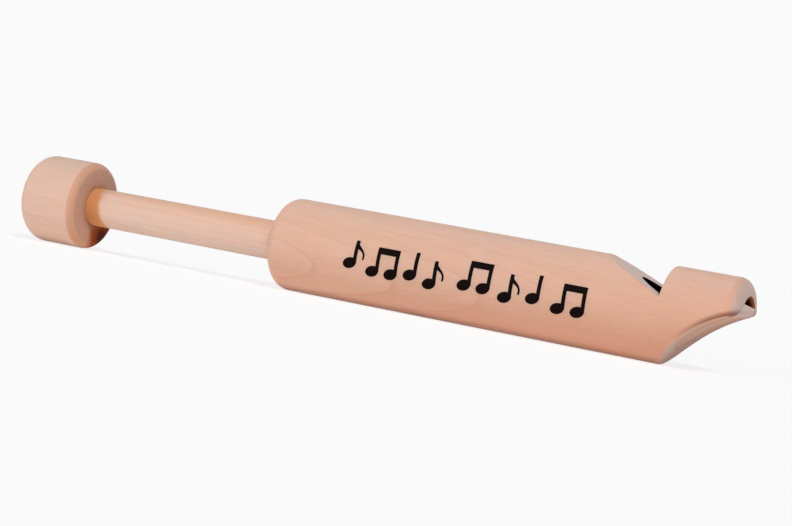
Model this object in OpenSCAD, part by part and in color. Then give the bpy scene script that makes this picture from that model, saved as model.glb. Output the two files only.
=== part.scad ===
// Wooden slide whistle: a turned barrel with a fipple block in its mouth end,
// and a knobbed rod that draws a packed piston along the bore.
// Distances along the whistle are measured from the mouth end towards the knob.
// +X points out of the mouth along the bore, and +Z out of the window.

/* [Barrel] */
// Outside diameter of the barrel
barrel_d = 28; // [26:0.5:32]
// Length of the barrel
barrel_len = 144; // [140:1:170]
// Thickness of the wall around the bore
barrel_wall = 4.8; // [4.5:0.1:5.2]
// Radius of the rounded edge at the rear end
rear_round = 4.5; // [1:0.5:6]
// Radius of the rounded edge at the mouth end
mouth_round = 3.6; // [1:0.2:4]

/* [Whistle head] */
// Distance from the mouth end to the upright wall of the notch
notch_at = 22; // [19:0.5:28]
// Depth of the notch below the top of the barrel
notch_depth = 9.1; // [8:0.1:11]
// Length of the ramp along the barrel
ramp_run = 19.4; // [16:0.2:24]
// Thickness of the mouthpiece at the mouth end
lip_thickness = 10.1; // [9:0.1:12]
// Distance from the mouth end to where the scoop meets the underside
scoop_at = 21.7; // [17:0.1:28]
// Radius of the sanding drum that cuts the scoop
scoop_r = 40.8; // [25:0.2:80]
// Radius of the rounded lower edge of the lip
lip_round = 3; // [0.5:0.1:3.2]

/* [Fipple block] */
// Height of the windway at its middle
windway_height = 2.8; // [1.5:0.1:3.6]
// Angle by which the block is turned in the bore
block_turn = 5; // [0:1:8]

/* [Rear guide bush] */
// Length of the bush
bush_len = 12; // [8:0.5:16]
// Depth of the chamfer around its rod hole
bush_chamfer = 0.6; // [0.2:0.1:1]

/* [Slide rod] */
// Diameter of the rod
rod_d = 12; // [10:0.2:12.6]
// How far the rod slides, from knob against barrel to piston against bush
slide_travel = 83.8; // [80:0.2:88]
// Length of rod that stands out between barrel and knob
slide_out = 68.4; // [40:0.2:78]
// Diameter of the tenon that carries the piston
tenon_d = 8; // [6:0.2:9]

/* [Knob] */
// Diameter of the knob
knob_d = 27.5; // [24:0.5:28]
// Length of the knob
knob_len = 21.3; // [17:0.1:28]
// Radius of the rounded edge at its back
knob_back_round = 4.9; // [1:0.1:6]
// Radius of the rounded edge at its front
knob_front_round = 2.6; // [0.5:0.1:4]
// Depth of its socket for the rod
socket_depth = 14; // [10:0.5:15.5]

/* [Piston] */
// Thickness of each wooden disc
disc_t = 3; // [2:0.2:4]
// Chamfer on the rims of the discs
disc_chamfer = 0.4; // [0.2:0.1:0.8]
// Width of the felt packing ring
ring_w = 6; // [4:0.2:7]
// Diameter of the steel washer
washer_d = 7.2; // [6.4:0.2:9]
// Thickness of the steel washer
washer_t = 0.8; // [0.5:0.1:1.2]
// Outside diameter of the screw's thread
screw_d = 3; // [2.5:0.1:3.5]
// Length of the screw under its head
screw_len = 14; // [10:0.5:18]
// Diameter of the screw's round head
head_d = 5.8; // [5:0.1:6.2]
// Height of the screw's round head
head_h = 1.9; // [1.5:0.1:2.3]

/* [Fits] */
// Gap left for glue around glued pieces
glue_gap = 0.05; // [0.03:0.01:0.08]
// Gap around the rod in its bush
rod_gap = 0.1; // [0.05:0.05:0.2]
// Gap between the packing ring and the bore
packing_gap = 0.05; // [0.03:0.01:0.08]
// Gap between the wooden discs and the bore
disc_gap = 0.2; // [0.15:0.05:0.3]
// Gap on each side of the packing ring in its groove
ring_side_gap = 0.15; // [0.1:0.05:0.2]

/* [Hidden] */
$fn = 96;

// How far a cutter runs past the wood that it cuts
overrun = 2;

barrel_r = barrel_d / 2;
bore_r = barrel_r - barrel_wall;
rod_r = rod_d / 2;
knob_r = knob_d / 2;
tenon_r = tenon_d / 2;
screw_r = screw_d / 2;
head_r = head_d / 2;

// Heights above the axis of the bore
notch_floor = barrel_r - notch_depth;
lip_height = barrel_r - lip_thickness;
windway_floor = bore_r - windway_height;

// Centre of the drum: its arc runs from the underside up to the lip
scoop_foot = [scoop_at, -barrel_r];
scoop_lip = [0, lip_height];
scoop_chord = scoop_lip - scoop_foot;
scoop_half = norm(scoop_chord) / 2;
scoop_side = [-scoop_chord[1], scoop_chord[0]] / norm(scoop_chord);
scoop_centre = (scoop_foot + scoop_lip) / 2 + scoop_side * sqrt(scoop_r * scoop_r - scoop_half * scoop_half);

// Centre of the lip's rounding, which stands a hair proud of the end face and the scoop
round_proud = 0.03;
round_in = lip_round - round_proud;
round_reach = sqrt(pow(scoop_r + round_in, 2) - pow(round_in - scoop_centre[0], 2));
round_centre = [round_in, scoop_centre[1] + round_reach];
drum_way = (scoop_centre - round_centre) / norm(scoop_centre - round_centre);

// Places along the whistle, from the mouth end
bush_at = barrel_len - bush_len;
knob_at = barrel_len + slide_out;
rod_end = knob_at + socket_depth - glue_gap;
shoulder_at = bush_at - (slide_travel - slide_out);
rear_disc_at = shoulder_at - disc_t;
ring_at = rear_disc_at - ring_side_gap - ring_w;
front_disc_at = ring_at - ring_side_gap - disc_t;
rod_start = front_disc_at + glue_gap;
washer_at = front_disc_at - washer_t;
head_at = washer_at - head_h;

// The screw's thread, slot and the hole that it is driven into
thread_pitch = 1.2;
thread_depth = 0.35;
point_len = 3;
slot_w = 0.8;
slot_depth = 0.9;
pilot_spare = 0.5;

// The origin is on the axis, at the middle of the plain stretch that a hand or clip holds
grip_from = notch_at + ramp_run;
grip_to = barrel_len - rear_round;
mouth_x = (grip_from + grip_to) / 2;

wood = [0.87, 0.70, 0.58];
rod_wood = [0.88, 0.74, 0.62];
felt = [0.86, 0.84, 0.78];
steel = [0.72, 0.72, 0.74];

// Puts a shape that stands on +Z onto the axis, at a distance from the mouth end
module on_axis(at) {
    translate([mouth_x - at, 0, 0]) rotate([0, -90, 0]) children();
}

// Puts an outline drawn in distance and height across the whistle, as wide as asked
module across(width) {
    translate([mouth_x, 0, 0]) mirror([1, 0, 0]) rotate([90, 0, 0])
        linear_extrude(height = width, center = true) children();
}

// Half section of a turned piece, with a rounded edge at each end
module turned_section(len, r, start_round, end_round) {
    translate([0, start_round]) square([r, len - start_round - end_round]);
    square([r - start_round, len / 2]);
    translate([0, len / 2]) square([r - end_round, len / 2]);
    translate([r - start_round, start_round]) circle(start_round);
    translate([r - end_round, len - end_round]) circle(end_round);
}

// A flat ring on the axis
module ring(at, len, outer_r, inner_r) {
    on_axis(at) difference() {
        cylinder(h = len, r = outer_r);
        translate([0, 0, -overrun]) cylinder(h = len + 2 * overrun, r = inner_r);
    }
}

// The sanding drum that hollows the underside of the mouthpiece
module scoop_drum() {
    across(barrel_d + 2 * overrun) translate(scoop_centre) circle(scoop_r);
}

// The corner sanded off the lip where the scoop meets the end face
module lip_corner() {
    below = round_centre + drum_way * (lip_round + overrun);
    across(barrel_d + 2 * overrun) difference() {
        polygon([[-overrun, round_centre[1]], round_centre, below, [-overrun, below[1]]]);
        translate(round_centre) circle(lip_round);
    }
}

// The wedge sawn out of the top: an upright wall and a long ramp
module notch_wedge() {
    ramp_rise = overrun / notch_depth * ramp_run;
    across(barrel_d + 2 * overrun) polygon([
        [notch_at, notch_floor],
        [notch_at + ramp_run + ramp_rise, barrel_r + overrun],
        [notch_at, barrel_r + overrun]
    ]);
}

module barrel() {
    color(wood) difference() {
        on_axis(0) rotate_extrude() turned_section(barrel_len, barrel_r, mouth_round, rear_round);
        on_axis(-overrun) cylinder(h = barrel_len + 2 * overrun, r = bore_r);
        notch_wedge();
        scoop_drum();
        lip_corner();
    }
}

// A short dowel with a flat on top, sanded to the scoop with the barrel
module fipple_block() {
    block_r = bore_r - glue_gap;
    color(wood) difference() {
        on_axis(0) cylinder(h = notch_at, r = block_r);
        on_axis(-overrun) rotate([0, 0, block_turn])
            translate([windway_floor, -bore_r, 0])
                cube([bore_r, 2 * bore_r, notch_at + 2 * overrun]);
        scoop_drum();
        lip_corner();
    }
}

module rear_guide_bush() {
    hole_r = rod_r + rod_gap;
    color(wood) difference() {
        on_axis(bush_at) cylinder(h = bush_len, r = bore_r - glue_gap);
        on_axis(bush_at - overrun) cylinder(h = bush_len + 2 * overrun, r = hole_r);
        on_axis(barrel_len - bush_chamfer)
            cylinder(h = 2 * bush_chamfer, r1 = hole_r, r2 = hole_r + 2 * bush_chamfer);
    }
}

module slide_rod() {
    pilot_r = screw_r + glue_gap;
    pilot_end = washer_at + screw_len + pilot_spare;
    color(rod_wood) difference() {
        union() {
            on_axis(rod_start) cylinder(h = shoulder_at - rod_start, r = tenon_r);
            on_axis(shoulder_at) cylinder(h = rod_end - shoulder_at, r = rod_r);
        }
        on_axis(rod_start - overrun) cylinder(h = pilot_end - rod_start + overrun, r = pilot_r);
    }
}

module knob() {
    color(wood) on_axis(knob_at) difference() {
        rotate_extrude() turned_section(knob_len, knob_r, knob_front_round, knob_back_round);
        translate([0, 0, -overrun]) cylinder(h = socket_depth + overrun, r = rod_r + glue_gap);
    }
}

// A turned disc with a chamfer on both rims
module piston_disc(at) {
    rim_r = bore_r - disc_gap;
    hub_r = tenon_r + glue_gap;
    color(wood) on_axis(at) rotate_extrude() polygon([
        [hub_r, 0], [rim_r - disc_chamfer, 0], [rim_r, disc_chamfer],
        [rim_r, disc_t - disc_chamfer], [rim_r - disc_chamfer, disc_t], [hub_r, disc_t]
    ]);
}

module packing_ring() {
    color(felt) ring(ring_at, ring_w, bore_r - packing_gap, tenon_r + rod_gap);
}

module piston_washer() {
    color(steel) ring(washer_at, washer_t, washer_d / 2, screw_r + glue_gap);
}

// Half section of the screw under its head: a row of thread crests and a point
module thread_section() {
    root_r = screw_r - thread_depth;
    thread_len = screw_len - point_len;
    crests = floor(thread_len / thread_pitch);
    square([root_r, thread_len]);
    for (i = [0 : crests - 1]) translate([0, i * thread_pitch]) polygon([
        [0, 0], [root_r, 0], [screw_r, thread_pitch / 2], [root_r, thread_pitch], [0, thread_pitch]
    ]);
    translate([0, thread_len]) polygon([[0, 0], [root_r, 0], [0, point_len]]);
}

// A round-headed wood screw with one slot
module piston_screw() {
    dome_r = (head_r * head_r + head_h * head_h) / (2 * head_h);
    color(steel) difference() {
        union() {
            on_axis(washer_at) rotate_extrude() thread_section();
            intersection() {
                on_axis(head_at + dome_r) sphere(dome_r);
                on_axis(head_at) cylinder(h = head_h, r = head_r);
            }
        }
        on_axis(head_at - overrun) translate([-head_d, -slot_w / 2, 0])
            cube([2 * head_d, slot_w, slot_depth + overrun]);
    }
}

barrel();
fipple_block();
rear_guide_bush();
slide_rod();
knob();
piston_disc(rear_disc_at);  // piston_rear_disc
packing_ring();
piston_disc(front_disc_at);  // piston_front_disc
piston_washer();
piston_screw();
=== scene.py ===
# A turned wooden slide whistle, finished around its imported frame. Lengths are in metres.
import math

import bmesh
import bpy
from mathutils import Matrix, Vector


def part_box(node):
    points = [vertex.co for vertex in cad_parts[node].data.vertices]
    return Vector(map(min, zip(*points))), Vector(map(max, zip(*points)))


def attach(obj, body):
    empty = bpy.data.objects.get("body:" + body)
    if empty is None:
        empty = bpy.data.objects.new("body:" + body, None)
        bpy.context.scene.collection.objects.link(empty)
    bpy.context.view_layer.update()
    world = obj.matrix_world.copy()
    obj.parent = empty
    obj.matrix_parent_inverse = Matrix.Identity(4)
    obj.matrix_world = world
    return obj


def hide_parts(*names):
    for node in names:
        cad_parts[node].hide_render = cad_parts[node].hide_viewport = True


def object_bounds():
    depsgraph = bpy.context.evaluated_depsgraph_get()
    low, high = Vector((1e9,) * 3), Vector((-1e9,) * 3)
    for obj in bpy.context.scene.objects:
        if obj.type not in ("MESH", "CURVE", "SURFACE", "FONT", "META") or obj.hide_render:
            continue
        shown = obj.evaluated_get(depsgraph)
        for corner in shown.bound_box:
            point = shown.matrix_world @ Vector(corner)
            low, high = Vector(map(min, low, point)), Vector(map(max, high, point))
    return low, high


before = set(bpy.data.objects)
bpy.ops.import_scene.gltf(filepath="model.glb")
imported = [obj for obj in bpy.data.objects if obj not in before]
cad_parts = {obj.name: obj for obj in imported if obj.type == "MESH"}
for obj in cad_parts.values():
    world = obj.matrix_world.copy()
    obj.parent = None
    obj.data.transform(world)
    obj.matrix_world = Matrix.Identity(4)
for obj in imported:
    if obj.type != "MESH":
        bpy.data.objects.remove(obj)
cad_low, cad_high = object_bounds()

MM = 0.001
scene = bpy.context.scene
scene.view_settings.view_transform = "Standard"

# The camera stands by the mouth end, hardly higher than the whistle, and is tilted sideways,
# so that the barrel runs down to the right as it does in the photograph.
photo_width = 792
focal_length_px = 1943
camera_place = Vector((216.1, -525.9, 17.6)) * MM
camera_turn = math.radians(23.81)
camera_pitch = math.radians(-1.74)
camera_roll = math.radians(9.94)

bpy.ops.object.camera_add()
camera = bpy.context.object
camera.name = "camera"
camera.data.sensor_width = 36
camera.data.lens = focal_length_px * camera.data.sensor_width / photo_width
camera.matrix_world = (
    Matrix.Translation(camera_place)
    @ Matrix.Rotation(camera_turn, 4, "Z")
    @ Matrix.Rotation(math.radians(90) + camera_pitch, 4, "X")
    @ Matrix.Rotation(camera_roll, 4, "Z")
)
scene.camera = camera


# A soft key light stands low on the left of the camera, a second one high on the right, and a
# white room fills in the rest. Both lamps are suns, so that the floor is lit evenly far away too.
def sun(name, toward, strength, softness):
    """A far lamp in the direction toward, with softness as its width in degrees."""
    bpy.ops.object.light_add(type="SUN")
    lamp = bpy.context.object
    lamp.name = name
    lamp.data.energy = strength
    lamp.data.angle = math.radians(softness)
    lamp.rotation_euler = Vector(toward).to_track_quat("Z", "Y").to_euler()


sun("key_light", toward=(-0.60, -0.78, 0.12), strength=1.1, softness=10)
sun("fill_light", toward=(0.45, -0.50, 0.70), strength=1.5, softness=14)

white_seen = 0.956
room_light = 0.24


def add_node(tree, kind, inputs=None, **properties):
    """Adds a node with its properties set. Each input takes a socket to link or a value to hold."""
    made = tree.nodes.new(kind)
    for name, value in properties.items():
        setattr(made, name, value)
    for name, value in (inputs or {}).items():
        if isinstance(value, bpy.types.NodeSocket):
            tree.links.new(value, made.inputs[name])
        else:
            made.inputs[name].default_value = value
    return made


def seen_directly(tree):
    """1 for rays from the camera, from a reflection or through glass, else 0."""
    rays = add_node(tree, "ShaderNodeLightPath").outputs
    camera_or_gloss = {0: rays["Is Camera Ray"], 1: rays["Is Glossy Ray"]}
    either = add_node(tree, "ShaderNodeMath", camera_or_gloss, operation="MAXIMUM")
    or_glass = {0: either.outputs[0], 1: rays["Is Transmission Ray"]}
    return add_node(tree, "ShaderNodeMath", or_glass, operation="MAXIMUM").outputs[0]


world = bpy.data.worlds.new("white_room")
world.use_nodes = True
scene.world = world
room = world.node_tree
room.nodes.clear()
room_fill = add_node(room, "ShaderNodeBackground", {"Color": (1, 1, 1, 1), "Strength": room_light})
room_seen = add_node(room, "ShaderNodeBackground", {"Color": (1, 1, 1, 1), "Strength": white_seen})
room_shares = {0: seen_directly(room), 1: room_fill.outputs[0], 2: room_seen.outputs[0]}
room_mix = add_node(room, "ShaderNodeMixShader", room_shares)
add_node(room, "ShaderNodeOutputWorld", {"Surface": room_mix.outputs[0]})

# The floor is plain, pale and a little warm, and the barrel lies on it. It keeps a soft shadow,
# and where nothing shades it, it is as white to the camera as the room behind it. It glows a
# little, like a light table, which fills the undersides.
floor_size = 12
floor_glow = 0.8
under_glow = 0.13


def colour(code):
    """A colour written as an sRGB hex value, turned to linear."""
    parts = [int(code[i:i + 2], 16) / 255 for i in (1, 3, 5)]
    return (*[p / 12.92 if p < 0.04045 else ((p + 0.055) / 1.055) ** 2.4 for p in parts], 1)


floor_bounce = colour("#F3EBE5")
lit_grey = colour("#898989")

bpy.ops.mesh.primitive_plane_add(size=floor_size, location=(0, 0, cad_low.z))
floor = bpy.context.object
floor.name = "floor"
pale_floor = bpy.data.materials.new("pale_floor")
pale_floor.use_nodes = True
tree = pale_floor.node_tree
tree.nodes.clear()
matt_part = add_node(tree, "ShaderNodeBsdfDiffuse", {"Color": floor_bounce})
under_light = add_node(tree, "ShaderNodeEmission", {"Color": floor_bounce, "Strength": under_glow})
bounce = add_node(tree, "ShaderNodeAddShader", {0: matt_part.outputs[0], 1: under_light.outputs[0]})
lit_part = add_node(tree, "ShaderNodeBsdfDiffuse", {"Color": lit_grey})
glow = add_node(tree, "ShaderNodeEmission", {"Strength": floor_glow})
white_part = add_node(tree, "ShaderNodeAddShader", {0: lit_part.outputs[0], 1: glow.outputs[0]})
floor_shares = {0: seen_directly(tree), 1: bounce.outputs[0], 2: white_part.outputs[0]}
floor_mix = add_node(tree, "ShaderNodeMixShader", floor_shares)
add_node(tree, "ShaderNodeOutputMaterial", {"Surface": floor_mix.outputs[0]})
floor.data.materials.append(pale_floor)

# The barrel is one piece of pale maple, turned round, bored through and sanded. The notch and
# the scoop are cut across it, and sandpaper has taken the bite off its outer edges.
barrel_r = cad_high.z
bore_r = 9.2 * MM
mouth_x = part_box("barrel")[1].x
notch_wall_x = mouth_x - 22 * MM
notch_back_x = mouth_x - 42 * MM
notch_floor_z = 4.9 * MM
scoop_back_x = mouth_x - 22 * MM
scoop_front_x = mouth_x - 2.2 * MM
lip_from_x = mouth_x - 1 * MM
notch_rim_soft = 0.9 * MM
notch_rim_fade = 5 * MM
barrel_edge_soft = 0.4 * MM
mouth_edge_soft = 0.1 * MM
mouth_fade = 3 * MM
bore_edge_soft = 0.2 * MM
by_the_bore = bore_r + 1 * MM


def sanded_copy(node, softness, shortest_edge=0.1 * MM, steps=3):
    """A merged copy of a CAD node with rounded edges.

    The function softness gives the radius of an edge from its two ends.
    """
    sharp_from = math.radians(28)
    flat = math.radians(0.5)
    widest = 1 * MM
    piece = bpy.data.objects.new(node + "_sanded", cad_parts[node].data.copy())
    scene.collection.objects.link(piece)
    bpy.ops.object.select_all(action="DESELECT")
    bpy.context.view_layer.objects.active = piece
    piece.select_set(True)
    bpy.ops.mesh.customdata_custom_splitnormals_clear()
    bpy.ops.object.mode_set(mode="EDIT")
    bpy.ops.mesh.select_all(action="SELECT")
    bpy.ops.mesh.remove_doubles(threshold=shortest_edge)
    bpy.ops.mesh.tris_convert_to_quads(face_threshold=flat, shape_threshold=math.pi)
    mesh = bmesh.from_edit_mesh(piece.data)
    weight = mesh.edges.layers.float.new("bevel_weight_edge")
    for edge in mesh.edges:
        if edge.calc_face_angle(0) > sharp_from:
            edge[weight] = softness(*[end.co for end in edge.verts]) / widest
    bmesh.update_edit_mesh(piece.data)
    bpy.ops.object.mode_set(mode="OBJECT")
    rounding = piece.modifiers.new("sanded_edges", "BEVEL")
    rounding.limit_method = "WEIGHT"
    rounding.width = widest
    rounding.segments = steps
    rounding.use_clamp_overlap = False
    rounding.loop_slide = False
    bpy.ops.object.modifier_apply(modifier=rounding.name)
    bpy.ops.object.shade_smooth_by_angle(angle=sharp_from)
    shading = piece.modifiers.new("even_shading", "WEIGHTED_NORMAL")
    shading.keep_sharp = True
    bpy.ops.object.modifier_apply(modifier=shading.name)
    piece.data.materials.clear()
    return piece


def fit(piece, body, node):
    """Makes a piece move with a body and stand for a CAD node, which it hides."""
    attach(piece, body)
    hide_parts(node)


def barrel_softness(start, end):
    """Wide on the notch's upright wall, narrow on the other outer edges, and least at the lip.

    The edges of the bore stay sharp in the front half, where the block sits and the air runs.
    """
    if min(math.hypot(place.y, place.z) for place in (start, end)) < by_the_bore:
        return 0 if start.x > 0 else bore_edge_soft
    touching = 0.05 * MM
    if all(abs(place.x - notch_wall_x) < touching for place in (start, end)):
        rise = ((start.z + end.z) / 2 - notch_floor_z) / notch_rim_fade
        return max(barrel_edge_soft, notch_rim_soft * min(rise, 1))
    from_lip = (lip_from_x - max(start.x, end.x)) / mouth_fade
    return max(mouth_edge_soft, barrel_edge_soft * min(from_lip, 1))


def bare_wood(
    name, pale, warm, ring, rim, end_grain, heart, lean, ring_width,
    figure=1, rim_from=0.06, end_from=0.25, end_to=0.6, pore_share=0.4, marks=None,
):
    """Close-grained wood, cut and sanded and left bare, with growth rings round its heart line.

    The tone turns to rim where a front edge begins to cut across the grain, and to end_grain
    further round. The function marks adds layers of its own, made from the tree and the place.
    """
    material = bpy.data.materials.new(name)
    material.use_nodes = True
    tree = material.node_tree
    shader = tree.nodes["Principled BSDF"]
    here = add_node(tree, "ShaderNodeTexCoord").outputs
    log_place = {"Vector": here["Object"], "Location": heart, "Rotation": lean}
    log = add_node(tree, "ShaderNodeMapping", log_place, vector_type="TEXTURE").outputs[0]

    # Growth rings go by the distance from the heart, which slow waves along the grain disturb.
    # Each year's wood darkens outward and ends in a fine line.
    wave_height = 1.3 * MM
    wave_length = 16 * MM
    wave_stretch = (0.3, 1, 1)
    late_levels = ((0.4, 0.1), (0.88, 0.35), (0.95, 0.8))
    last_level = 0.9
    across = add_node(tree, "ShaderNodeVectorMath", {0: log, 1: (0, 1, 1)}, operation="MULTIPLY")
    radius = add_node(tree, "ShaderNodeVectorMath", {0: across.outputs[0]}, operation="LENGTH")
    drawn_out = add_node(tree, "ShaderNodeVectorMath", {0: log, 1: wave_stretch}, operation="MULTIPLY")
    wave_place = {"Vector": drawn_out.outputs[0], "Scale": 1 / wave_length}
    waves = add_node(tree, "ShaderNodeTexNoise", wave_place).outputs[0]
    disturbed = {0: waves, 1: wave_height, 2: radius.outputs["Value"]}
    uneven = add_node(tree, "ShaderNodeMath", disturbed, operation="MULTIPLY_ADD").outputs[0]
    years = add_node(tree, "ShaderNodeMath", {0: uneven, 1: ring_width}, operation="DIVIDE").outputs[0]
    year = add_node(tree, "ShaderNodeMath", {0: years}, operation="FLOOR").outputs[0]
    season = add_node(tree, "ShaderNodeMath", {0: years}, operation="FRACT").outputs[0]
    late_wood = add_node(tree, "ShaderNodeValToRGB", {"Fac": season})
    levels = late_wood.color_ramp.elements
    levels[0].color = (0, 0, 0, 1)
    levels[1].color = (last_level, last_level, last_level, 1)
    for place, level in late_levels:
        levels.new(place).color = (level, level, level, 1)
    tints = add_node(tree, "ShaderNodeTexWhiteNoise", {"W": year}, noise_dimensions="1D")

    # The tone drifts slowly, and fine fibres and a few short flecks run along the grain. The
    # fibres are drawn coarser than they are, so that they still show at the photograph's size.
    drift_size = 30 * MM
    fibre_size = 0.6 * MM
    fibre_stretch = (0.04, 1, 1)
    fleck_size = 0.5 * MM
    fleck_stretch = (0.2, 1, 1)
    long_way = add_node(tree, "ShaderNodeVectorMath", {0: log, 1: fibre_stretch}, operation="MULTIPLY")
    short_way = add_node(tree, "ShaderNodeVectorMath", {0: log, 1: fleck_stretch}, operation="MULTIPLY")
    drift_place = {"Vector": drawn_out.outputs[0], "Scale": 1 / drift_size, "Detail": 4}
    drift = add_node(tree, "ShaderNodeTexNoise", drift_place).outputs[0]
    fibre_place = {"Vector": long_way.outputs[0], "Scale": 1 / fibre_size, "Detail": 3}
    fibres = add_node(tree, "ShaderNodeTexNoise", fibre_place).outputs[0]
    fleck_place = {"Vector": short_way.outputs[0], "Scale": 1 / fleck_size, "Detail": 1}
    flecks = add_node(tree, "ShaderNodeTexNoise", fleck_place).outputs[0]

    # End grain shows where the surface turns across the log, later at the rear ends, which are
    # sanded finer. It starts unevenly, from pore to pore. The cut pores are darker, and they are
    # drawn coarser than they are too.
    rear_share = -0.6
    pore_size = 0.6 * MM
    front = add_node(tree, "ShaderNodeSeparateXYZ", {0: here["Normal"]}).outputs["X"]
    rear = add_node(tree, "ShaderNodeMath", {0: front, 1: rear_share}, operation="MULTIPLY").outputs[0]
    turned = add_node(tree, "ShaderNodeMath", {0: front, 1: rear}, operation="MAXIMUM").outputs[0]
    pore_place = {"Vector": across.outputs[0], "Scale": 1 / pore_size, "Detail": 2}
    pores = add_node(tree, "ShaderNodeTexNoise", pore_place).outputs[0]
    ragged = 1.5 * (end_to - end_from)
    raggedly = {0: pores, 1: ragged, 2: turned}
    torn = add_node(tree, "ShaderNodeMath", raggedly, operation="MULTIPLY_ADD").outputs[0]
    end_range = {"Value": torn, "From Min": end_from + ragged / 2, "From Max": end_to + ragged / 2}
    end_cut = add_node(tree, "ShaderNodeMapRange", end_range, interpolation_type="SMOOTHSTEP").outputs[0]
    pore_spots = {"Value": pores, "From Min": 0.45, "From Max": 0.75}
    cut_pores = add_node(tree, "ShaderNodeMapRange", pore_spots).outputs[0]
    on_ends = {0: cut_pores, 1: end_cut}
    open_pores = add_node(tree, "ShaderNodeMath", on_ends, operation="MULTIPLY").outputs[0]

    # A layer is a source, the two limits between which it sets in, its full share and its tone.
    # Each covers the ones before it by its share.
    rim_fade = 0.08
    layers = [
        (drift, 0.35, 0.65, 1, warm),
        (late_wood.outputs[0], 0, 1, 0.6 * figure, ring),
        (tints.outputs["Value"], 0, 1, 0.3 * figure, ring),
        (fibres, 0.42, 0.8, 0.3, ring),
        (flecks, 0.66, 0.76, 0.3, ring),
        (front, rim_from, rim_from + rim_fade, 0.8, rim),
        (end_cut, 0, 1, 1, end_grain),
        (open_pores, 0, 1, pore_share, "#8A6050"),
    ]
    if marks:
        marks(tree, here["Object"], layers)
    surface = colour(pale)
    for source, low, high, most, tone in layers:
        limits = {"Value": source, "From Min": low, "From Max": high, "To Max": most}
        share = add_node(tree, "ShaderNodeMapRange", limits).outputs[0]
        cover = {0: share, 6: surface, 7: colour(tone)}
        surface = add_node(tree, "ShaderNodeMix", cover, data_type="RGBA").outputs[2]
    tree.links.new(surface, shader.inputs["Base Color"])

    # Fibres stand up a little after sanding and pores sink in, and neither shines
    fibre_height = 0.05 * MM
    raised = add_node(tree, "ShaderNodeMath", {0: fibres, 1: open_pores}, operation="SUBTRACT")
    fuzzy = {"Height": raised.outputs[0], "Strength": 0.35, "Distance": fibre_height}
    relief = add_node(tree, "ShaderNodeBump", fuzzy).outputs[0]
    tree.links.new(relief, shader.inputs["Normal"])
    dull = {"Value": fibres, "To Min": 0.5, "To Max": 0.7}
    tree.links.new(add_node(tree, "ShaderNodeMapRange", dull).outputs[0], shader.inputs["Roughness"])
    shader.inputs["IOR"].default_value = 1.5
    shader.inputs["Specular IOR Level"].default_value = 0.25
    # Red light goes deepest into bare wood, so shadows on it glow orange at their edges
    light_depth = 5 * MM
    shader.inputs["Subsurface Weight"].default_value = 0.5
    shader.inputs["Subsurface Radius"].default_value = (1, 0.3, 0.1)
    shader.inputs["Subsurface Scale"].default_value = light_depth
    return material


def give_faces(piece, material, belongs):
    """Gives a material to those faces of a piece whose middle and normal pass the test."""
    piece.data.materials.append(material)
    for face in piece.data.polygons:
        if belongs(face.center, face.normal):
            face.material_index = len(piece.data.materials) - 1


# Where the bore's painted shade gives way to painted light just inside the mouth
bore_lit_from_x = mouth_x - 1.8 * MM
bore_lit_to_x = mouth_x - 0.2 * MM


def bore_lit_marks(tree, place, layers):
    """The bore's painted shade turns to painted light over the last two millimetres before the mouth,
    where light reaches in.
    """
    along = add_node(tree, "ShaderNodeSeparateXYZ", {0: place}).outputs["X"]
    layers.append((along, bore_lit_from_x, bore_lit_to_x, 1, "#D28B58"))


# The bore is painted dark and dull as painted shade, on the barrel's bore and on the windway's floor
bore_shade_maple = bare_wood(
    "bore_shade_maple", pale="#4A281A", warm="#3C2014", ring="#2A150D", rim="#3C2014", end_grain="#3C2014",
    heart=(0, 0, 0), lean=(0, 0, 0), ring_width=1.5 * MM, end_from=0.8, end_to=0.95, marks=bore_lit_marks,
)
bore_shade_maple.node_tree.nodes["Principled BSDF"].inputs["Subsurface Weight"].default_value = 0

# A sanding drum laid across the whistle has cut the scoop. A dark spot of painted shade lies on its near
# rim, by the lip.
drum_middle = Vector((104, 0, -34.6)) * MM
drum_r = 40.8 * MM
# The spot of painted shade on the scoop's near rim
rim_shade_spot = Vector((86.5, -13.7, 2.3)) * MM
rim_shade_spot_r = 3 * MM
rim_shade_spot_fade = 15 * MM
rim_shade_wide = 1.7 * MM
shade_below_way = (0.2, 0, -0.98)


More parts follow.
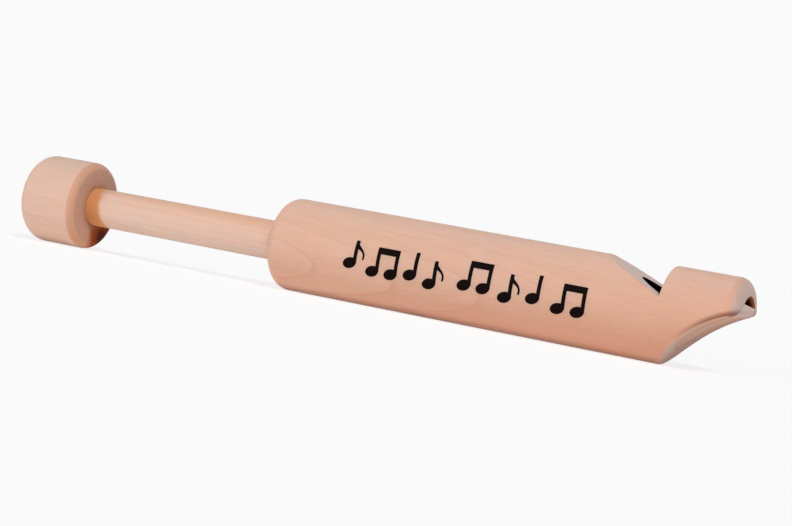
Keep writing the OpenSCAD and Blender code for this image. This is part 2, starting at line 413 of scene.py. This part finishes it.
def barrel_marks(tree, place, layers):
    """The wood is plain on top and by the mouth. Painted shade makes it ruddier below, a painted
    highlight makes the very top paler, and painted shade darkens the scoop's near rim.

    The tones go in under the fibres and the end grain, and the rim's painted shade goes on top.
    """
    shade_below = add_node(tree, "ShaderNodeVectorMath", {0: place, 1: shade_below_way}, operation="DOT_PRODUCT")
    apart = add_node(tree, "ShaderNodeSeparateXYZ", {0: place}).outputs
    to_drum = add_node(tree, "ShaderNodeVectorMath", {0: place, 1: drum_middle}, operation="SUBTRACT")
    square_on = {0: to_drum.outputs[0], 1: (1, 0, 1)}
    flat = add_node(tree, "ShaderNodeVectorMath", square_on, operation="MULTIPLY").outputs[0]
    reach = add_node(tree, "ShaderNodeVectorMath", {0: flat}, operation="LENGTH").outputs["Value"]
    rim_range = {"Value": reach, "From Min": drum_r + rim_shade_wide, "From Max": drum_r}
    on_rim = add_node(tree, "ShaderNodeMapRange", rim_range).outputs[0]
    from_spot = add_node(tree, "ShaderNodeVectorMath", {0: place, 1: rim_shade_spot}, operation="DISTANCE")
    spot = from_spot.outputs["Value"]
    spot_range = {"Value": spot, "From Min": rim_shade_spot_fade, "From Max": rim_shade_spot_r}
    by_spot = add_node(tree, "ShaderNodeMapRange", spot_range).outputs[0]
    rim_shade = add_node(tree, "ShaderNodeMath", {0: on_rim, 1: by_spot}, operation="MULTIPLY").outputs[0]
    under_fibres = 3
    layers[under_fibres:under_fibres] = [
        (apart["Z"], -4 * MM, 5 * MM, 0.45, "#E2B8A3"),
        (apart["X"], 15 * MM, 45 * MM, 0.65, "#E2B7A1"),
        # painted shade: ruddier toward the underside
        (shade_below.outputs["Value"], 5 * MM, 25 * MM, 0.55, "#DA9E83"),
        # painted highlight: paler on the very top
        (apart["Z"], 7 * MM, 12 * MM, 0.45, "#EFCAB8"),
    ]
    # painted shade along the scoop's near rim, darkest at the spot
    layers.append((rim_shade, 0, 0.7, 0.85, "#7A4226"))


streak_size = 2.5 * MM
streak_stretch = (0.06, 1, 0.06)
# Where the scoop's painted shade sets in, across the scoop
scoop_shade_from_y = 0
scoop_shade_to_y = 11 * MM


def scoop_marks(tree, place, layers):
    """Painted shade browns the scoop toward its far side, and the drum left streaks."""
    across = add_node(tree, "ShaderNodeSeparateXYZ", {0: place}).outputs["Y"]
    # painted shade, browner toward the scoop's far side
    layers.append((across, scoop_shade_from_y, scoop_shade_to_y, 0.68, "#AE745E"))
    run = add_node(tree, "ShaderNodeVectorMath", {0: place, 1: streak_stretch}, operation="MULTIPLY")
    streak_place = {"Vector": run.outputs[0], "Scale": 1 / streak_size, "Detail": 2}
    streaks = add_node(tree, "ShaderNodeTexNoise", streak_place).outputs[0]
    layers.append((streaks, 0.5, 0.7, 0.6, "#95604E"))
    layers.append((streaks, 0.5, 0.3, 0.5, "#EBD2C8"))


# Pinkish maple: pale tongues of the growth rings run along the lower side, the rounded front is
# browner where it starts and greyer at the end. The sawn notch is paler, as fresh end grain is,
# and the scoop is browner toward its far side, which is painted shade.
barrel_log = {
    "pale": "#E5BDA9", "warm": "#DFB39A", "ring": "#CF9A7E", "figure": 0.75, "pore_share": 0.2,
    "heart": Vector((0, 42, 16)) * MM, "lean": (0, math.radians(2), math.radians(-5.1)),
    "ring_width": 2.62 * MM,
}
turned_tones = {"rim": "#E0AD92", "end_grain": "#D3B8B1", "end_from": 0.3, "marks": barrel_marks}
sawn_maple = bare_wood("sawn_maple", rim="#E0C6BF", end_grain="#E0C6BF", **barrel_log)
scooped_tones = {"rim": "#E6B498", "end_grain": "#EBC9BD", "end_from": 0.55, "end_to": 0.85}
scooped_maple = bare_wood("scooped_maple", marks=scoop_marks, **scooped_tones, **barrel_log)


def in_bore(middle, normal):
    """True for a face of the bore."""
    slack = 0.1 * MM
    return math.hypot(middle.y, middle.z) < bore_r + slack


def in_notch(middle, normal):
    """True for a face of the sawn notch: its ramp or its upright wall."""
    slack = 0.1 * MM
    ramp = normal.x > 0.3
    wall = normal.x < -0.9
    return notch_back_x < middle.x < notch_wall_x + slack and (ramp or wall)


def in_scoop(middle, normal):
    """True for a face that the sanding drum has cut, between the underside and the lip's rounding."""
    return scoop_back_x < middle.x < scoop_front_x and normal.z < -0.35 and normal.x > 0.2


barrel = sanded_copy("barrel", barrel_softness, shortest_edge=0.3 * MM, steps=4)
barrel.data.materials.append(bare_wood("turned_maple", **turned_tones, **barrel_log))
give_faces(barrel, sawn_maple, in_notch)
give_faces(barrel, scooped_maple, in_scoop)
give_faces(barrel, bore_shade_maple, in_bore)
fit(barrel, "barrel", "barrel")

# A row of plain notes is printed along the near side of the barrel in black ink, which lies on
# the wood as a thin film. The row is cut out flat, joined up and then wrapped round the barrel.
ink_from_x = -24.5 * MM
ink_film = 0.04 * MM
ink_proud = 0.02 * MM
ink_middle = math.radians(3)
head_long = 4.3 * MM
head_slim_share = 0.74
head_tilt = math.radians(22)
stem_wide = 1.15 * MM
stem_tall = 6.9 * MM
beam_thick = 2 * MM
pair_wide = 5.9 * MM
flag_outside = ((0, 0), (0.5, -2), (3.9, -2.7), (2.7, -5.6))
flag_inside = ((0, -2.2), (0.9, -2.8), (2.9, -3.2), (2.2, -5.3))
flag_steps = 10
strip = 0.5 * MM
strips_each_way = 16
sliver = 0.005 * MM


def ink_patch(middle, size, turn=0, corners=4):
    """Adds a flat patch to the print: a bar with four corners, or an oval with many."""
    if corners == 4:
        bpy.ops.mesh.primitive_plane_add(size=1, location=middle)
    else:
        bpy.ops.mesh.primitive_circle_add(
            vertices=corners, radius=0.5, fill_type="NGON", location=middle,
        )
    bpy.ops.transform.resize(value=(*size, 1), center_override=middle)
    bpy.ops.transform.rotate(value=-turn, orient_axis="Z", center_override=middle)


def ink_head(along, up):
    """The tilted oval of a note, and the stem that rises from its right side."""
    ink_patch((along, up, 0), (head_long, head_long * head_slim_share), head_tilt, corners=48)
    stem_x = along + (head_long - stem_wide) / 2
    ink_patch((stem_x, up + stem_tall / 2, 0), (stem_wide, stem_tall))


def ink_flag(along, up):
    """A flag that swings out from the top of a stem and down to a point, between two curves."""
    stem_x = along + (head_long - stem_wide) / 2
    top = up + stem_tall
    bpy.ops.mesh.primitive_grid_add(x_subdivisions=flag_steps, y_subdivisions=1, size=1)
    mesh = bmesh.from_edit_mesh(ink.data)
    for point in [point for point in mesh.verts if point.select]:
        far = point.co.x + 0.5
        near = 1 - far
        pulls = (near ** 3, 3 * far * near ** 2, 3 * far ** 2 * near, far ** 3)
        curve = flag_outside if point.co.y > 0 else flag_inside
        over, down = [sum(pull * place[i] for pull, place in zip(pulls, curve)) for i in (0, 1)]
        point.co = (stem_x + over * MM, top + down * MM, 0)
    bmesh.update_edit_mesh(ink.data)


def ink_beam(along, up):
    """The thick bar that joins two stems."""
    stem_x = along + (head_long - stem_wide) / 2
    middle = (stem_x + pair_wide / 2, up + stem_tall - beam_thick / 4, 0)
    ink_patch(middle, (pair_wide + stem_wide, beam_thick))


bpy.ops.mesh.primitive_plane_add(size=1)
ink = bpy.context.object
ink.name = "printed_notes"
bpy.ops.object.mode_set(mode="EDIT")
bpy.ops.mesh.select_all(action="SELECT")
bpy.ops.mesh.delete(type="VERT")
row = (
    ("flag", 0, 0.9), ("pair", 7.4, -0.4), ("plain", 19.4, 0.6), ("flag", 25.6, -0.9),
    ("pair", 36.4, 0.7), ("flag", 49, -0.6), ("plain", 57.4, 0.6), ("pair", 65, -0.9),
)
for kind, along, up in row:
    note_x = ink_from_x + along * MM
    note_z = up * MM - stem_tall / 2
    ink_head(note_x, note_z)
    if kind == "pair":
        ink_head(note_x + pair_wide, note_z)
        ink_beam(note_x, note_z)
    if kind == "flag":
        ink_flag(note_x, note_z)
bpy.ops.mesh.select_all(action="SELECT")
bpy.ops.mesh.extrude_region_move(TRANSFORM_OT_translate={"value": (0, 0, -ink_film)})
bpy.ops.mesh.select_all(action="SELECT")
bpy.ops.mesh.normals_make_consistent(inside=False)
bpy.ops.mesh.intersect_boolean(operation="UNION", use_self=True, solver="EXACT")
for step in range(-strips_each_way, strips_each_way + 1):
    bpy.ops.mesh.select_all(action="SELECT")
    bpy.ops.mesh.bisect(plane_co=(0, step * strip, 0), plane_no=(0, 1, 0))
bpy.ops.mesh.select_all(action="SELECT")
bpy.ops.mesh.dissolve_degenerate(threshold=sliver)
bpy.ops.object.mode_set(mode="OBJECT")
for point in ink.data.vertices:
    angle = ink_middle + point.co.y / barrel_r
    film_r = barrel_r + ink_proud + point.co.z
    point.co = (point.co.x, -film_r * math.cos(angle), film_r * math.sin(angle))

# Black printing ink: nearly dull, with a trace of brown from the wood under it
black_ink = bpy.data.materials.new("black_ink")
black_ink.use_nodes = True
ink_shader = black_ink.node_tree.nodes["Principled BSDF"]
ink_shader.inputs["Base Color"].default_value = colour("#100605")
ink_shader.inputs["Roughness"].default_value = 0.7
ink_shader.inputs["Specular IOR Level"].default_value = 0.05
ink.data.materials.clear()
ink.data.materials.append(black_ink)
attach(ink, "barrel")

# The fipple block is a short maple dowel with a flat on top, glued into the mouth end. Its
# end and underside were sanded flush with the barrel, and the flat is the windway's floor.
block_log = {
    "pale": "#E3BFAE", "warm": "#DBB39D", "ring": "#CDA087",
    "heart": Vector((0, -12, -20)) * MM, "lean": (0, math.radians(1), math.radians(2)),
    "ring_width": 1.8 * MM, "pore_share": 0.2,
}


def evenly(soft):
    """The same softness on every edge."""
    return lambda start, end: soft


block = sanded_copy("fipple_block", evenly(0.1 * MM))
block.data.materials.append(bare_wood("maple_dowel", rim="#DBB39D", end_grain="#E3CBC5", **block_log))
# The windway's floor on the block takes the bore's painted shade
give_faces(block, bore_shade_maple, lambda middle, normal: normal.z > 0.9)
sanded_tones = {"rim": "#E0AA8B", "end_grain": "#DCAE98", "end_from": 0.5, "end_to": 0.85}
scooped_dowel = bare_wood("scooped_dowel", marks=scoop_marks, **sanded_tones, **block_log)
give_faces(block, scooped_dowel, in_scoop)
fit(block, "barrel", "fipple_block")

# The rear guide bush is a turned maple ring, glued into the rear of the bore. The rod slides
# through its hole, and the piston stops against it.
bush = sanded_copy("rear_guide_bush", evenly(0.2 * MM))
bush.data.materials.append(bare_wood(
    "maple_bush", pale="#E3BFAA", warm="#DBB198", ring="#CFA084", rim="#DBB198", end_grain="#CFAB9C",
    heart=Vector((0, 9, -14)) * MM, lean=(0, 0, 0), ring_width=1.6 * MM, pore_share=0.2,
))
fit(bush, "barrel", "rear_guide_bush")

# The slide rod is a bought birch dowel, paler and straighter in the grain than the barrel. Its
# inner end is turned down to a tenon that carries the piston.
knob_face_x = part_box("knob")[1].x
# How far the knob's painted shadow reaches along the rod, and how its edge runs
knob_shadow_to_x = knob_face_x + 4.9 * MM
knob_shadow_edge = 0.7 * MM
knob_shadow_wobble = 1.2 * MM
knob_shadow_wobble_size = 4 * MM
knob_shadow_slope = (1, 0, 0.25)
rod_slope = (0.03, 0, 1)


def rod_marks(tree, place, layers):
    """The rod is warmer on top toward the barrel, and paler below.

    The knob's shadow is painted on it by the knob as an orange band.
    """
    slanting = {0: place, 1: rod_slope}
    height = add_node(tree, "ShaderNodeVectorMath", slanting, operation="DOT_PRODUCT").outputs["Value"]
    layers.insert(1, (height, -1 * MM, 2.5 * MM, 0.75, "#E6B092"))
    layers.insert(1, (height, -2.5 * MM, -6 * MM, 0.6, "#EFDCD3"))
    sloping = add_node(tree, "ShaderNodeVectorMath", {0: place, 1: knob_shadow_slope}, operation="DOT_PRODUCT")
    wobble_place = {"Vector": place, "Scale": 1 / knob_shadow_wobble_size}
    uneven = add_node(tree, "ShaderNodeTexNoise", wobble_place).outputs[0]
    wobbled = {0: uneven, 1: knob_shadow_wobble, 2: sloping.outputs["Value"]}
    reach = add_node(tree, "ShaderNodeMath", wobbled, operation="MULTIPLY_ADD").outputs[0]
    middle = knob_shadow_to_x + knob_shadow_wobble / 2
    # painted shadow of the knob: an orange band on the rod by the knob
    layers.append((reach, middle + knob_shadow_edge, middle - knob_shadow_edge, 0.9, "#EA9E60"))


rod = sanded_copy("slide_rod", evenly(0.2 * MM))
rod.data.materials.append(bare_wood(
    "birch_dowel", pale="#E9CFC3", warm="#E4C5B3", ring="#D8AF94", rim="#DDB399", end_grain="#D2A98F",
    heart=Vector((0, 25, -30)) * MM, lean=(0, math.radians(0.6), math.radians(0.4)),
    ring_width=1.7 * MM, figure=0.8, end_from=0.8, end_to=0.95, marks=rod_marks,
))
fit(rod, "plunger", "slide_rod")

# The knob is a turned maple button with rounded rims, glued on the end of the rod. Its face is
# end grain, browner and duller than the side.
face_middle = Vector((knob_face_x, 0, 0))
brown_ring_r = 6.2 * MM
brown_ring_fade = 8.4 * MM
# Where the rod's painted shadow lies on the knob's face
rod_shadow_spot = face_middle + Vector((0, 6.2, -9.7)) * MM
rod_shadow_r = 5.5 * MM
rod_shadow_fade = 8.5 * MM
rod_shadow_core_r = 1.8 * MM
rod_shadow_core_fade = 4.6 * MM


def knob_marks(tree, place, layers):
    """Painted light makes its side paler below and darker on top. A browner ring lies round the rod,
    and the rod's shadow is painted on the face below it as a dark patch.
    """
    height = add_node(tree, "ShaderNodeSeparateXYZ", {0: place}).outputs["Z"]
    # painted light: the side darker on top and paler below
    layers.insert(1, (height, 4 * MM, 11 * MM, 0.8, "#E1C1B1"))
    layers.insert(1, (height, 3 * MM, -7 * MM, 0.5, "#EED4C7"))
    from_rod = add_node(tree, "ShaderNodeVectorMath", {0: place, 1: face_middle}, operation="DISTANCE")
    layers.append((from_rod.outputs["Value"], brown_ring_fade, brown_ring_r, 0.4, "#B9713F"))
    # painted shadow of the rod on the knob's face, darkest at its core
    from_rod_shadow = add_node(tree, "ShaderNodeVectorMath", {0: place, 1: rod_shadow_spot}, operation="DISTANCE")
    layers.append((from_rod_shadow.outputs["Value"], rod_shadow_fade, rod_shadow_r, 1, "#B3591E"))
    layers.append((from_rod_shadow.outputs["Value"], rod_shadow_core_fade, rod_shadow_core_r, 1, "#621400"))


knob = sanded_copy("knob", evenly(0.2 * MM))
knob.data.materials.append(bare_wood(
    "turned_maple_knob",
    pale="#E6C8B8", warm="#E1BEAA", ring="#D9AF98", rim="#DBA88A", end_grain="#D2A792",
    heart=Vector((0, 30, -40)) * MM, lean=(0, math.radians(2), math.radians(3)),
    ring_width=2.6 * MM, figure=0.5, rim_from=0.1, end_from=0.88, end_to=0.97, marks=knob_marks,
))
# It was sanded coarser than the barrel and hardly shines
knob_shader = knob.data.materials[0].node_tree.nodes["Principled BSDF"]
knob_shader.inputs["Specular IOR Level"].default_value = 0.1
fit(knob, "plunger", "knob")

# The two piston discs are turned birch. The rear one is glued against the rod's shoulder, and
# the front one closes the groove that the felt sits in.
disc_birch = bare_wood(
    "birch_disc", pale="#E6C6B0", warm="#DFB9A0", ring="#CFA78B", rim="#DBB49A", end_grain="#CCA48C",
    heart=Vector((0, -16, 10)) * MM, lean=(0, 0, 0), ring_width=1.7 * MM, pore_share=0.2,
)
for disc in ("piston_rear_disc", "piston_front_disc"):
    piece = sanded_copy(disc, evenly(0.15 * MM))
    piece.data.materials.append(disc_birch)
    fit(piece, "plunger", disc)

# The packing is a ring of pressed wool felt round the tenon, between the discs. It is
# squeezed a little by the bore, so its rims are round and its outside is fuzzy.
felt_low, felt_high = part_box("packing_ring")
felt_r = felt_high.y
felt_inner_r = 4.1 * MM
felt_width = felt_high.x - felt_low.x
felt_middle = ((felt_low.x + felt_high.x) / 2, 0, 0)
felt_rim = 0.9 * MM
felt_fuzz = 0.12 * MM

bpy.ops.mesh.primitive_cylinder_add(
    vertices=96, radius=felt_r, depth=felt_width, end_fill_type="NGON",
    location=felt_middle, rotation=(0, math.radians(90), 0),
)
felt = bpy.context.object
felt.name = "felt_ring"
bpy.ops.object.transform_apply()
bpy.ops.object.mode_set(mode="EDIT")
bpy.ops.mesh.select_mode(type="FACE")
bpy.ops.mesh.select_all(action="DESELECT")
mesh = bmesh.from_edit_mesh(felt.data)
for face in mesh.faces:
    face.select_set(abs(face.normal.x) > 0.9)
bmesh.update_edit_mesh(felt.data)
bpy.ops.mesh.inset(thickness=felt_r - felt_inner_r)
bpy.ops.mesh.bridge_edge_loops()
bpy.ops.mesh.select_mode(type="EDGE")
bpy.ops.mesh.select_all(action="DESELECT")
mesh = bmesh.from_edit_mesh(felt.data)
for edge in mesh.edges:
    edge.select_set(edge.calc_face_angle(0) > math.radians(60))
bmesh.update_edit_mesh(felt.data)
bpy.ops.mesh.bevel(offset=felt_rim, segments=5, affect="EDGES")
bpy.ops.mesh.select_all(action="SELECT")
bpy.ops.mesh.subdivide(number_cuts=3)
bpy.ops.mesh.normals_make_consistent(inside=False)
bpy.ops.object.mode_set(mode="OBJECT")
wool_lumps = bpy.data.textures.new("wool_lumps", "CLOUDS")
wool_lumps.noise_scale = 0.7 * MM
fuzz = felt.modifiers.new("fuzz", "DISPLACE")
fuzz.texture = wool_lumps
fuzz.strength = felt_fuzz
fuzz.mid_level = 1
bpy.ops.object.modifier_apply(modifier=fuzz.name)
bpy.ops.object.shade_smooth()

# Undyed wool felt: off-white, quite matt, with stray grey fibres and a soft halo at its edges
wool_felt = bpy.data.materials.new("wool_felt")
wool_felt.use_nodes = True
tree = wool_felt.node_tree
felt_shader = tree.nodes["Principled BSDF"]
felt_shader.inputs["Roughness"].default_value = 0.95
felt_shader.inputs["Sheen Weight"].default_value = 0.4
felt_shader.inputs["Sheen Roughness"].default_value = 0.6
hair_size = 0.3 * MM
place = add_node(tree, "ShaderNodeTexCoord").outputs["Object"]
hair_place = {"Vector": place, "Scale": 1 / hair_size, "Detail": 4, "Distortion": 1.5}
hairs = add_node(tree, "ShaderNodeTexNoise", hair_place)
wool_tones = {0: hairs.outputs[0], 6: colour("#C9C3B4"), 7: colour("#EBE7DD")}
wool = add_node(tree, "ShaderNodeMix", wool_tones, data_type="RGBA").outputs[2]
tree.links.new(wool, felt_shader.inputs["Base Color"])
hair_height = 0.15 * MM
standing = {"Height": hairs.outputs[0], "Strength": 0.6, "Distance": hair_height}
nap = add_node(tree, "ShaderNodeBump", standing).outputs[0]
tree.links.new(nap, felt_shader.inputs["Normal"])
felt.data.materials.append(wool_felt)
fit(felt, "packing", "packing_ring")

# The washer and the round-headed wood screw are bought steel, plated with zinc. The screw is
# driven into the tenon and holds the front disc on.
zinc_plate = bpy.data.materials.new("zinc_plated_steel")
zinc_plate.use_nodes = True
tree = zinc_plate.node_tree
zinc_shader = tree.nodes["Principled BSDF"]
zinc_shader.inputs["Metallic"].default_value = 1
zinc_shader.inputs["Base Color"].default_value = colour("#C6C8CC")
# Zinc is a cool grey metal whose gloss is clouded in small patches
cloud_size = 0.8 * MM
place = add_node(tree, "ShaderNodeTexCoord").outputs["Object"]
cloud_place = {"Vector": place, "Scale": 1 / cloud_size, "Detail": 2}
clouds = add_node(tree, "ShaderNodeTexNoise", cloud_place).outputs[0]
clouded = {"Value": clouds, "To Min": 0.22, "To Max": 0.45}
patchy = add_node(tree, "ShaderNodeMapRange", clouded).outputs[0]
tree.links.new(patchy, zinc_shader.inputs["Roughness"])
for part in ("piston_washer", "piston_screw"):
    piece = sanded_copy(part, evenly(0.06 * MM), shortest_edge=0.02 * MM, steps=2)
    piece.data.materials.append(zinc_plate)
    fit(piece, "plunger", part)
